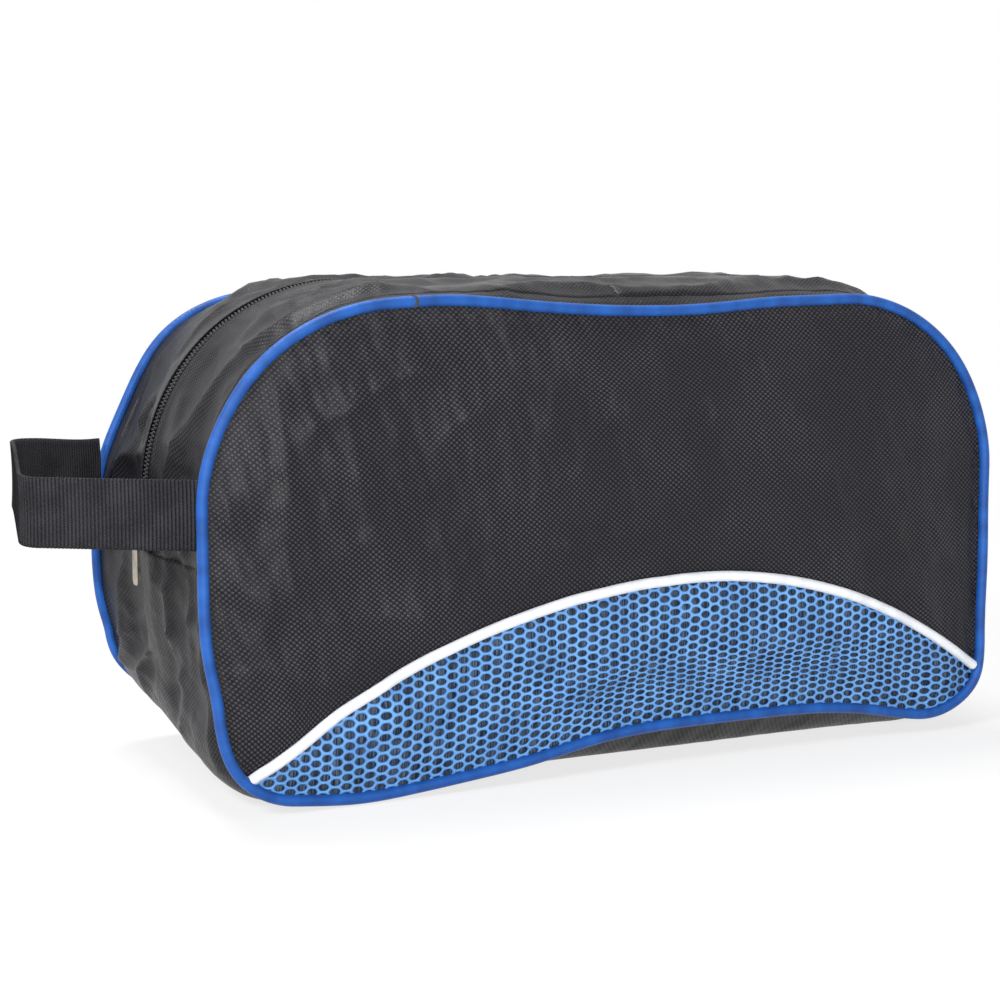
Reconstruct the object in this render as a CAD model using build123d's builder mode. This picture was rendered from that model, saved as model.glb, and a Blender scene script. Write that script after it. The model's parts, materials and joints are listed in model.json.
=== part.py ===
"""Zipped shoe bag with piped panels, a mesh window and a webbing grab handle.

+X runs along the bag's length with the handle at the -X end, -Y is the side with the
mesh window and +Z is up.  The origin lies on the floor under the middle of the base.
Sizes are in millimetres.
"""

import os

from build123d import *

# Overall sizes, measured between the middles of the piping beads
LENGTH = 370.0
HEIGHT = 190.0
DEPTH = 150.0
TOP_RADIUS = 78.0
BASE_RADIUS = 35.0

# How far the wrap-around gusset stands out past the piping outline
BASE_CROWN = 7.0
TOP_CROWN = 8.0
CROWN_EXTRA_RADIUS = 9.0

# Cloth
NYLON = 0.6
LINING = 0.4
BINDING = 0.3
LAYER_GAP = 0.1

# Piping bead: a folded sleeve round a filler cord
BEAD_DIAMETER = 4.0
SLEEVE_WALL = 0.5
CORD_PLAY = 0.2
FLANGE = 1.0
SEAM_ALLOWANCE = 10.0
BEAD_PROUD = 1.0

# Arched piping over the mesh window
ARCH_BEAD = 4.4
ARCH_STAND_OFF = 0.2
ARCH_X = 30.0
ARCH_HEIGHT = 74.0
ARCH_LEFT_RADIUS = 334.0
ARCH_RIGHT_RADIUS = 239.0
ARCH_SWEEP = 60.0
ARCH_FLANGE = 8.0
ARCH_CLEARANCE = 0.3

# Gusset: flat where it is sewn, sloping out to a level crown
SLOPE_START = 11.0
SLOPE_END = 30.0
BASE_SEAM_Z = 98.0
SEAM_GAP = 0.3

# Zip
CHAIN_GAP = 1.2
COIL_WIDTH = 2.6
COIL_HEIGHT = 2.0
TAPE_WIDTH = 15.0
TAPE_THICKNESS = 0.6
TAPE_TUCK = 8.0
ZIP_OPENING = 11.0
MOUTH_LENGTH = 170.0
FLAP_GAP = 0.3
HINGE_GAP = 1.6

# Slider and pull
SLIDER_LENGTH = 12.0
SLIDER_PLAY = 0.35
SLIDER_PLATE = 1.2
SLIDER_BASE = 1.0
SLIDER_SIDE = 1.15
SLIDER_CORNER = 1.6
SLIDER_WEB = 0.6
BRIDGE_LENGTH = 7.2
BRIDGE_WIDTH = 2.6
BRIDGE_THICKNESS = 1.1
BAR_DIAMETER = 1.5
BAR_CLEARANCE = 0.3
PULL_LENGTH = 36.0
PULL_WIDTH = 7.0
PULL_THICKNESS = 1.3
EYE_LENGTH = 5.0
EYE_WIDTH = 3.5
PULL_TIP_RADIUS = 2.2

# Grab handle
WEBBING_WIDTH = 25.0
WEBBING_THICKNESS = 1.6
HANDLE_HEIGHT = 113.0
HANDLE_REACH_FRONT = 52.0
HANDLE_REACH_REAR = 36.0
HANDLE_RUN_FRONT = 40.0
HANDLE_RUN_REAR = 35.0
HANDLE_BEND_FRONT = 12.0
HANDLE_BEND_REAR = 20.0
TAB_LENGTH = 7.9
TAB_CLEARANCE = 0.3

# Piping sizes that follow from its bead
BORE_DIAMETER = BEAD_DIAMETER - 2 * SLEEVE_WALL
CORD_DIAMETER = BORE_DIAMETER - CORD_PLAY
ARCH_BORE = ARCH_BEAD - 2 * SLEEVE_WALL
ARCH_CORD = ARCH_BORE - CORD_PLAY

# Places that follow from those sizes
BEAD_Z = BASE_CROWN
BEAD_Y = DEPTH / 2
END_X = LENGTH / 2
CROWN_TOP = BEAD_Z + HEIGHT + TOP_CROWN
CROWN_TOP_RADIUS = TOP_RADIUS + CROWN_EXTRA_RADIUS
PANEL_Y = BEAD_Y - BEAD_PROUD
EDGE_Y = BEAD_Y - BEAD_DIAMETER / 2
ALLOWANCE_Y = BEAD_Y - SEAM_ALLOWANCE
SLOPE_START_Y = BEAD_Y - SLOPE_START
SLOPE_END_Y = BEAD_Y - SLOPE_END
HALF_MOUTH = MOUTH_LENGTH / 2
HINGE_Y = SLOPE_START_Y - HINGE_GAP / 2

# Distances outwards from the piping outline, negative towards the middle of the panel
GUSSET_OUTER = -0.5
GUSSET_INNER = GUSSET_OUTER - NYLON
FLANGE_OUTER = GUSSET_INNER - BINDING
FLANGE_INNER = FLANGE_OUTER - FLANGE
RETURN_INNER = FLANGE_INNER - NYLON
BINDING_INNER = RETURN_INNER - BINDING

# Distances outwards from the gusset's crown
TAPE_OUTER = -NYLON
TAPE_INNER = TAPE_OUTER - TAPE_THICKNESS
COIL_TOP = TAPE_OUTER + COIL_HEIGHT

ARCH_TOP = BEAD_Z + ARCH_HEIGHT
ARCH_EDGE = ARCH_BEAD / 2 + ARCH_CLEARANCE
ARCH_Y = PANEL_Y + ARCH_STAND_OFF

SLIDER_Z = CROWN_TOP - CROWN_TOP_RADIUS
HANDLE_Z = BEAD_Z + HANDLE_HEIGHT


def seam_path(out):
    """Draw the piping outline, moved outwards by out."""
    x = END_X + out
    low = BEAD_Z - out
    high = BEAD_Z + HEIGHT + out
    corners = [(-x, low), (x, low), (x, high), (-x, high)]
    base = BASE_RADIUS + out
    top = TOP_RADIUS + out
    FilletPolyline(*corners, radius=[base, base, top, top], close=True)


def crown_path(out):
    """Draw the outline of the gusset's crown, moved outwards by out."""
    x = END_X + out
    low = -out
    high = CROWN_TOP + out
    corners = [(-x, low), (x, low), (x, high), (-x, high)]
    base = BASE_RADIUS + out
    top = CROWN_TOP_RADIUS + out
    FilletPolyline(*corners, radius=[base, base, top, top], close=True)


def band(path, outer, inner, y_low, y_high):
    """Make the band between two offsets of an outline, from y_low to y_high."""
    with BuildPart() as made:
        with BuildSketch(Plane.XZ.offset(-y_low)):
            with BuildLine():
                path(outer)
            make_face()
            with BuildLine():
                path(inner)
            make_face(mode=Mode.SUBTRACT)
        extrude(amount=y_low - y_high)
    return made.part


def plate(path, outer, y_low, y_high):
    """Make a flat plate that fills an outline, from y_low to y_high."""
    with BuildPart() as made:
        with BuildSketch(Plane.XZ.offset(-y_low)):
            with BuildLine():
                path(outer)
            make_face()
        extrude(amount=y_low - y_high)
    return made.part


def arch_path(out):
    """Draw the closed shape under the arch, its edge moved outwards by out."""
    left = CenterArc((ARCH_X, ARCH_TOP - ARCH_LEFT_RADIUS), ARCH_LEFT_RADIUS + out, 90, ARCH_SWEEP)
    right = CenterArc(
        (ARCH_X, ARCH_TOP - ARCH_RIGHT_RADIUS), ARCH_RIGHT_RADIUS + out, 90, -ARCH_SWEEP
    )
    Line(left @ 1, right @ 1)


def region(x_low, x_high, y_low, y_high, z_low, z_high):
    """Make the block between two corners, for cutting and trimming."""
    with BuildPart() as made:
        with BuildSketch(Plane.XY.offset(z_low)):
            with Locations(((x_low + x_high) / 2, (y_low + y_high) / 2)):
                Rectangle(x_high - x_low, y_high - y_low)
        extrude(amount=z_high - z_low)
    return made.part


def save(part, name):
    """Label a finished piece and write its STEP file."""
    part.label = name
    export_step(part, f"parts/{name}.step")


def mirrored(part):
    """Return the same piece on the other side of the bag's middle plane."""
    with BuildPart() as made:
        add(part)
        mirror(about=Plane.XZ, mode=Mode.REPLACE)
    return made.part


# Piping

def piping_sleeve():
    """Make the front sleeve: a hollow bead and the folded flange sewn into the seam."""
    with BuildPart() as sleeve:
        add(band(seam_path, FLANGE_OUTER, FLANGE_INNER, -ARCH_Y, -ALLOWANCE_Y))
        add(bead(BEAD_DIAMETER))
        add(bead(BORE_DIAMETER), mode=Mode.SUBTRACT)
    return sleeve.part


def bead(diameter):
    """Make a round bead along the front outline, as two mirrored halves."""
    with BuildPart() as made:
        with BuildLine(Plane.XZ.offset(BEAD_Y)) as route:
            FilletPolyline(
                (0, BEAD_Z),
                (END_X, BEAD_Z),
                (END_X, BEAD_Z + HEIGHT),
                (0, BEAD_Z + HEIGHT),
                radius=[BASE_RADIUS, TOP_RADIUS],
            )
        with BuildSketch(Plane((0, -BEAD_Y, BEAD_Z), x_dir=(0, 1, 0), z_dir=(1, 0, 0))):
            Circle(diameter / 2)
        sweep(path=route.line)
        mirror(about=Plane.YZ)
    return made.part


# Front panel: nylon over a mesh window, joined by an arched bead

def front_shell(thickness):
    """Make a whole front panel with its edge turned in along the seam."""
    with BuildPart() as shell:
        add(plate(seam_path, FLANGE_INNER, -PANEL_Y, -PANEL_Y + thickness))
        add(band(seam_path, FLANGE_INNER, RETURN_INNER, -PANEL_Y, -ALLOWANCE_Y))
    return shell.part


def under_arch(out):
    """Make the block under the arch, its curved edge moved outwards by out."""
    return plate(arch_path, out, -BEAD_Y, 0)


def arch_route():
    """Draw the line that the arched bead follows."""
    CenterArc((ARCH_X, ARCH_TOP - ARCH_LEFT_RADIUS), ARCH_LEFT_RADIUS, 90 + ARCH_SWEEP, -ARCH_SWEEP)
    CenterArc((ARCH_X, ARCH_TOP - ARCH_RIGHT_RADIUS), ARCH_RIGHT_RADIUS, 90, -ARCH_SWEEP)


def arch_rod(diameter):
    """Make a round rod along the arch, ending against the piping's flange."""
    with BuildPart() as made:
        with BuildLine(Plane.XZ.offset(ARCH_Y)) as route:
            arch_route()
        with BuildSketch(Plane(route.line @ 0, z_dir=route.line % 0)):
            Circle(diameter / 2)
        sweep(path=route.line)
        add(plate(seam_path, FLANGE_INNER, -BEAD_Y - ARCH_BEAD, 0), mode=Mode.INTERSECT)
    return made.part


def build_front_panel():
    """Build the nylon above the arch, the mesh below it, its lining and the bead."""
    with BuildPart() as front_panel:
        add(front_shell(NYLON))
        add(under_arch(ARCH_EDGE), mode=Mode.SUBTRACT)
    save(front_panel.part, "front_panel")

    with BuildPart() as mesh_panel:
        add(front_shell(NYLON))
        add(under_arch(-ARCH_EDGE), mode=Mode.INTERSECT)
    save(mesh_panel.part, "mesh_panel")

    flange_y = -PANEL_Y + NYLON + LAYER_GAP
    lining_y = flange_y + LINING + LAYER_GAP
    with BuildPart() as arch_piping:
        add(plate(seam_path, BINDING_INNER - LAYER_GAP, flange_y, flange_y + LINING))
        add(under_arch(0), mode=Mode.INTERSECT)
        add(under_arch(-ARCH_FLANGE), mode=Mode.SUBTRACT)
        add(arch_rod(ARCH_BEAD))
        add(arch_rod(ARCH_BORE), mode=Mode.SUBTRACT)
    save(arch_piping.part, "arch_piping")
    save(arch_rod(ARCH_CORD), "arch_piping_cord")

    with BuildPart() as mesh_lining:
        add(plate(seam_path, BINDING_INNER - LAYER_GAP, lining_y, lining_y + LINING))
        add(under_arch(-ARCH_EDGE), mode=Mode.INTERSECT)
    save(mesh_lining.part, "mesh_lining")


def build_back_panel():
    """Build the plain nylon panel at the back."""
    save(mirrored(front_shell(NYLON)), "back_panel")


def build_seams():
    """Build the piping, its filler cord and the binding tape of both seams."""
    sleeve = piping_sleeve()
    cord = bead(CORD_DIAMETER)
    with BuildPart() as binding:
        add(band(seam_path, GUSSET_INNER, FLANGE_OUTER, -EDGE_Y, -ALLOWANCE_Y + BINDING))
        add(band(seam_path, RETURN_INNER, BINDING_INNER, -EDGE_Y + 2 * NYLON, -ALLOWANCE_Y + BINDING))
        add(band(seam_path, GUSSET_INNER, BINDING_INNER, -ALLOWANCE_Y, -ALLOWANCE_Y + BINDING))
    for name, piece in (
        ("piping", sleeve),
        ("piping_cord", cord),
        ("seam_binding", binding.part),
    ):
        save(piece, f"front_{name}")
        save(mirrored(piece), f"back_{name}")


# Gusset

def gusset_form(inset):
    """Make the solid inside the gusset, with its surface moved in by inset."""
    with BuildPart() as form:
        add(plate(seam_path, GUSSET_OUTER - inset, -EDGE_Y, -SLOPE_START_Y))
        with BuildSketch(Plane.XZ.offset(SLOPE_START_Y)):
            with BuildLine():
                seam_path(GUSSET_OUTER - inset)
            make_face()
        with BuildSketch(Plane.XZ.offset(SLOPE_END_Y)):
            with BuildLine():
                crown_path(-inset)
            make_face()
        loft(ruled=True)
        add(plate(crown_path, -inset, -SLOPE_END_Y, 0))
        mirror(about=Plane.XZ)
    return form.part


def build_gusset():
    """Build the base gusset, the two zip gussets and the flaps at the mouth."""
    far = LENGTH + DEPTH
    with BuildPart() as skin:
        add(gusset_form(0))
        add(gusset_form(NYLON), mode=Mode.SUBTRACT)

    with BuildPart() as base_gusset:
        add(skin.part)
        add(region(-far, far, -far, far, -far, BASE_SEAM_Z), mode=Mode.INTERSECT)
    save(base_gusset.part, "base_gusset")

    zip_edge = -ZIP_OPENING / 2
    with BuildPart() as zip_gusset:
        add(skin.part)
        add(region(-far, far, -far, zip_edge, BASE_SEAM_Z + SEAM_GAP, far), mode=Mode.INTERSECT)
        cut = HALF_MOUTH + FLAP_GAP
        add(region(-cut, cut, -HINGE_Y - HINGE_GAP / 2, 0, SLIDER_Z, far), mode=Mode.SUBTRACT)
    save(zip_gusset.part, "front_zip_gusset")
    save(mirrored(zip_gusset.part), "back_zip_gusset")

    with BuildPart() as flap:
        add(skin.part)
        add(
            region(-HALF_MOUTH, HALF_MOUTH, -HINGE_Y + HINGE_GAP / 2, zip_edge, SLIDER_Z, far),
            mode=Mode.INTERSECT,
        )
    save(flap.part, "front_mouth_flap")
    save(mirrored(flap.part), "back_mouth_flap")


# Zip

def build_zip_halves():
    """Build the tapes and coils, each in a left, top and right stretch."""
    far = LENGTH + DEPTH
    cut = HALF_MOUTH + FLAP_GAP
    stretches = {"left": (-far, -cut), "top": (-HALF_MOUTH, HALF_MOUTH), "right": (cut, far)}
    inner_y = -CHAIN_GAP / 2
    strips = {
        "tape": (TAPE_OUTER, TAPE_INNER, TAPE_WIDTH, BASE_SEAM_Z - TAPE_TUCK),
        "coil": (COIL_TOP, TAPE_OUTER, COIL_WIDTH, BASE_SEAM_Z + SEAM_GAP),
    }
    for strip, (outer, inner, width, low) in strips.items():
        whole = band(crown_path, outer, inner, inner_y - width, inner_y)
        for side, (x_low, x_high) in stretches.items():
            with BuildPart() as piece:
                add(whole)
                add(region(x_low, x_high, -far, far, low, far), mode=Mode.INTERSECT)
            save(piece.part, f"front_zip_{strip}_{side}")
            save(mirrored(piece.part), f"back_zip_{strip}_{side}")


def build_slider():
    """Build the slider at the start of the corner, its face towards -X."""
    plate_low = COIL_TOP + SLIDER_PLAY
    plate_high = plate_low + SLIDER_PLATE
    side_low = TAPE_OUTER + SLIDER_PLAY
    base_high = TAPE_INNER - SLIDER_PLAY
    base_low = base_high - SLIDER_BASE
    side_inner = CHAIN_GAP / 2 + COIL_WIDTH + SLIDER_PLAY
    half_width = side_inner + SLIDER_SIDE
    bridge_high = plate_high + BAR_DIAMETER + 2 * BAR_CLEARANCE + BRIDGE_THICKNESS
    bridge_hole = BRIDGE_LENGTH - 2 * BRIDGE_THICKNESS
    with BuildPart() as slider:
        with BuildSketch(slider_plane(base_low)):
            RectangleRounded(2 * half_width, SLIDER_LENGTH, SLIDER_CORNER)
        extrude(amount=SLIDER_BASE)
        with BuildSketch(slider_plane(base_high)):
            Rectangle(SLIDER_WEB, SLIDER_LENGTH - 2 * SLIDER_CORNER)
        extrude(amount=plate_low - base_high)
        with BuildSketch(slider_plane(side_low)):
            RectangleRounded(2 * half_width, SLIDER_LENGTH, SLIDER_CORNER)
            Rectangle(2 * side_inner, SLIDER_LENGTH, mode=Mode.SUBTRACT)
        extrude(amount=plate_low - side_low)
        with BuildSketch(slider_plane(plate_low)):
            RectangleRounded(2 * half_width, SLIDER_LENGTH, SLIDER_CORNER)
        extrude(amount=SLIDER_PLATE)
        with BuildSketch(slider_plane(plate_high)):
            Rectangle(BRIDGE_WIDTH, BRIDGE_LENGTH)
        extrude(amount=bridge_high - plate_high)
        crest = slider.edges().filter_by(Axis.Y).group_by(Axis.X)[0]
        fillet(crest, radius=BRIDGE_THICKNESS)
        with BuildSketch(slider_plane(plate_high)):
            Rectangle(BRIDGE_WIDTH, bridge_hole)
        extrude(amount=bridge_high - plate_high - BRIDGE_THICKNESS, mode=Mode.SUBTRACT)
    save(slider.part, "slider_body")

    bar_out = plate_high + BAR_CLEARANCE + BAR_DIAMETER / 2
    tip = PULL_LENGTH / 2
    with BuildPart() as pull:
        with BuildSketch(slider_plane(bar_out - PULL_THICKNESS / 2)):
            with Locations((0, -tip)):
                RectangleRounded(PULL_WIDTH, PULL_LENGTH, PULL_TIP_RADIUS)
            with Locations((0, -PULL_TIP_RADIUS)):
                Rectangle(PULL_WIDTH, 2 * PULL_TIP_RADIUS)
            with Locations((0, -(BAR_DIAMETER + EYE_LENGTH) / 2)):
                Rectangle(EYE_WIDTH, EYE_LENGTH, mode=Mode.SUBTRACT)
            with Locations((0, -BAR_DIAMETER / 4)):
                Rectangle(EYE_WIDTH, BAR_DIAMETER / 2, mode=Mode.SUBTRACT)
        extrude(amount=PULL_THICKNESS)
        with BuildSketch(Plane.XZ.offset(-PULL_WIDTH / 2)):
            with Locations((-END_X - bar_out, SLIDER_Z)):
                Circle(BAR_DIAMETER / 2)
        extrude(amount=PULL_WIDTH)
    save(pull.part, "pull_tab")


def slider_plane(out):
    """Place a plane facing -X at the slider, out from the crown, +Y to its right."""
    return Plane((-END_X - out, 0, SLIDER_Z), x_dir=(0, -1, 0), z_dir=(-1, 0, 0))


# Handle

def build_handle():
    """Build the sewn tabs and the webbing loop between them."""
    low = HANDLE_Z - WEBBING_WIDTH / 2
    high = HANDLE_Z + WEBBING_WIDTH / 2
    tab_outer = GUSSET_OUTER + WEBBING_THICKNESS
    with BuildPart() as tab:
        add(band(seam_path, tab_outer, GUSSET_OUTER, -EDGE_Y, -EDGE_Y + TAB_LENGTH))
        add(region(-LENGTH, 0, -DEPTH, DEPTH, low, high), mode=Mode.INTERSECT)
    save(tab.part, "handle_front_tab")
    save(mirrored(tab.part), "handle_rear_tab")

    swing_x = -END_X - tab_outer - TAB_CLEARANCE - WEBBING_WIDTH / 2
    root_x = -END_X - tab_outer + WEBBING_THICKNESS
    root_y = EDGE_Y - WEBBING_THICKNESS
    with BuildPart() as beyond:
        add(region(swing_x, 0, -DEPTH, DEPTH, low - WEBBING_WIDTH, high + WEBBING_WIDTH))
        with BuildSketch(Plane.XZ.offset(DEPTH)):
            with Locations((swing_x, HANDLE_Z)):
                Circle(WEBBING_WIDTH / 2)
        extrude(amount=-2 * DEPTH, mode=Mode.SUBTRACT)
    with BuildPart() as loop:
        with BuildSketch(Plane.XY.offset(low)):
            with BuildLine():
                FilletPolyline(
                    (root_x, -root_y),
                    (root_x - HANDLE_REACH_FRONT, HANDLE_RUN_FRONT - root_y),
                    (root_x - HANDLE_REACH_REAR, root_y - HANDLE_RUN_REAR),
                    (root_x, root_y),
                    radius=[HANDLE_BEND_FRONT, HANDLE_BEND_REAR],
                )
            trace(line_width=WEBBING_THICKNESS)
        extrude(amount=WEBBING_WIDTH)
        add(beyond.part, mode=Mode.SUBTRACT)
    save(loop.part, "handle_loop")
    print("handle axis x, z:", round(swing_x, 3), round(HANDLE_Z, 3))


os.makedirs("parts", exist_ok=True)
build_front_panel()
build_back_panel()
build_seams()
build_gusset()
build_zip_halves()
build_slider()
build_handle()
print("flap axes y, z:", HINGE_Y, BEAD_Z + HEIGHT + GUSSET_OUTER)
print("slider axis x, z:", CROWN_TOP_RADIUS - END_X, SLIDER_Z)
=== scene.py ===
"""Shoe bag: nylon panels with piped seams, an arched mesh window, a zip and a webbing handle.

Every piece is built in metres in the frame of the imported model: +X along the bag with the
handle at -X, -Y out of the side with the window, +Z up and the floor at zero.
"""

from __future__ import annotations

import json
import logging
import math
from dataclasses import dataclass
from enum import Enum
from typing import Callable

import bmesh
import bpy
from mathutils import Matrix, Vector, noise
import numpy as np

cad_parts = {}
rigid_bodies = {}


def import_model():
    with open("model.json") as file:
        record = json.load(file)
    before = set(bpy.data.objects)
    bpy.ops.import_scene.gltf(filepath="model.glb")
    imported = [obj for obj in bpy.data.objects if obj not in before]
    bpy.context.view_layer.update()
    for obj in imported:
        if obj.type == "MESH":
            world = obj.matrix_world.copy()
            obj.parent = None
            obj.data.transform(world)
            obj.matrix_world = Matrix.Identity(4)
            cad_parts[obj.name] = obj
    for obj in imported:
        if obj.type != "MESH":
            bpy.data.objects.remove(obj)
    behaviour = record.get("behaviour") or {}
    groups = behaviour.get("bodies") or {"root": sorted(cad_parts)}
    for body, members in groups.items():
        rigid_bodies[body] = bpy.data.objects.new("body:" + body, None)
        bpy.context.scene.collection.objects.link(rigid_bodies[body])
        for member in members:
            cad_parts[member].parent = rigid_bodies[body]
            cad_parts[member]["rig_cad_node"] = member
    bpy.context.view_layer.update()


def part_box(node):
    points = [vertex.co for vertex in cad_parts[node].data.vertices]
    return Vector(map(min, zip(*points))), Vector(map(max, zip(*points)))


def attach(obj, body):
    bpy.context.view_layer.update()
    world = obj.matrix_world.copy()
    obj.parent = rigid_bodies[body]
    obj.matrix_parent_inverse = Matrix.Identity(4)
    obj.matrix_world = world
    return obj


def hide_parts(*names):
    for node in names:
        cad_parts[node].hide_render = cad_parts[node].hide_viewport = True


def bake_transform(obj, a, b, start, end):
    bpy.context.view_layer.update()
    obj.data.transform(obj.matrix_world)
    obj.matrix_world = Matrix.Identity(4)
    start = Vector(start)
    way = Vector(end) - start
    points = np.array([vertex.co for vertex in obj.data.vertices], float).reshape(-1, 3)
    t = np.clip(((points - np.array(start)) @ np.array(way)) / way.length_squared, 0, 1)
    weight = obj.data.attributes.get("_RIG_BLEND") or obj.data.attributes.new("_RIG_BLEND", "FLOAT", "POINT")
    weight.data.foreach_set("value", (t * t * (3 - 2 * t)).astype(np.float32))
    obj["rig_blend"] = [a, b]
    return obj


LOG = logging.getLogger("shoe_bag")
MM = 0.001
TURN = 2 * math.pi
UV_NAME = "cut"

Place = Callable[[float, float], Vector]
Pair = tuple[float, float]


class Side(Enum):
    """The two long sides of the bag."""

    FRONT = -1
    BACK = 1


class End(Enum):
    """The two ends of the bag."""

    LEFT = -1
    RIGHT = 1


# Small helpers

def ease(share: float) -> float:
    """Ease a share smoothly from 0 to 1 and hold it outside that range."""
    t = min(max(share, 0.0), 1.0)
    return t * t * (3 - 2 * t)


def hump(distance: float, width: float, power: float = 2.0) -> float:
    """Give a smooth hump of height 1 that fades over a width."""
    return math.exp(-abs(distance / width) ** power)


def ripple(point: Vector, scale: Vector, shift: float) -> float:
    """Give smooth noise between about -1 and 1.

    Args:
        point: Where it is read.
        scale: The size of a wave along each axis.
        shift: An offset that gives each surface its own waves.

    Returns:
        The noise there.
    """
    where = Vector((point.x / scale.x, point.y / scale.y, point.z / scale.z))
    return noise.noise(where + Vector((shift, 2.3 * shift, -shift)))


def fold(point: Vector, scale: Vector, shift: float) -> float:
    """Give soft-edged folds between 0 and 1, sharpest along their crests.

    Args:
        point: Where it is read.
        scale: The size of a fold along each axis.
        shift: An offset that gives each surface its own folds.

    Returns:
        The fold's height there.
    """
    return (1 - min(1.0, abs(ripple(point, scale, shift)) * 2.2)) ** 2


# The bag's outline, in the upright plane of its long sides

@dataclass(frozen=True)
class Outline:
    """A rounded outline in ten legs, from the middle of the base round to it again."""

    half: float
    low: float
    high: float
    base: float
    top: float

    def lengths(self) -> list[float]:
        """Give the length of each leg."""
        side = self.high - self.low - self.base - self.top
        base_run = self.half - self.base
        top_run = self.half - self.top
        base_arc = self.base * math.pi / 2
        top_arc = self.top * math.pi / 2
        return [base_run, base_arc, side, top_arc, top_run, top_run, top_arc, side, base_arc, base_run]

    def at(self, leg: int, share: float) -> tuple[Vector, Vector]:
        """Find a point on the outline.

        Args:
            leg: The leg's number, 0 to 9.
            share: How far along the leg, 0 to 1.

        Returns:
            The point and the outward direction, both in the plane y = 0.
        """
        if leg > 4:
            point, out = self.at(9 - leg, 1 - share)
            return Vector((-point.x, 0, point.z)), Vector((-out.x, 0, out.z))
        if leg == 0:
            return Vector((share * (self.half - self.base), 0, self.low)), Vector((0, 0, -1))
        if leg == 2:
            rise = self.high - self.low - self.base - self.top
            return Vector((self.half, 0, self.low + self.base + share * rise)), Vector((1, 0, 0))
        if leg == 4:
            return Vector(((1 - share) * (self.half - self.top), 0, self.high)), Vector((0, 0, 1))
        radius = self.base if leg == 1 else self.top
        height = self.low + radius if leg == 1 else self.high - radius
        start = -math.pi / 2 if leg == 1 else 0.0
        angle = start + share * math.pi / 2
        out = Vector((math.cos(angle), 0, math.sin(angle)))
        return Vector((self.half - radius, 0, height)) + out * radius, out

    def station(self, distance: float) -> tuple[int, float]:
        """Turn a distance from the middle of the base into a leg and a share of it."""
        lengths = self.lengths()
        left = distance % sum(lengths)
        for leg, length in enumerate(lengths):
            if left <= length:
                return leg, left / length
            left -= length
        return 9, 1.0

    def bottom(self, x: float) -> float:
        """Give the height of the outline's lower edge at x."""
        past = abs(x) - (self.half - self.base)
        return self.low + (self.base - math.sqrt(max(self.base**2 - past**2, 0)) if past > 0 else 0)

    def ceiling(self, x: float) -> float:
        """Give the height of the outline's upper edge at x."""
        past = abs(x) - (self.half - self.top)
        return self.high - (self.top - math.sqrt(max(self.top**2 - past**2, 0)) if past > 0 else 0)

    def depth(self, x: float, z: float) -> float:
        """Give how far inside the outline a point lies."""
        radius = self.base if z < (self.low + self.high) / 2 else self.top
        across = abs(x) - (self.half - radius)
        down = max(self.low + self.base - z, z - (self.high - self.top))
        if across > 0 and down > 0:
            return radius - math.hypot(across, down)
        return min(self.half - abs(x), z - self.low, self.high - z)

    def inset(self, amount: float) -> Outline:
        """Give the same outline moved inwards."""
        return Outline(
            self.half - amount,
            self.low + amount,
            self.high - amount,
            self.base - amount,
            self.top - amount,
        )


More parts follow.
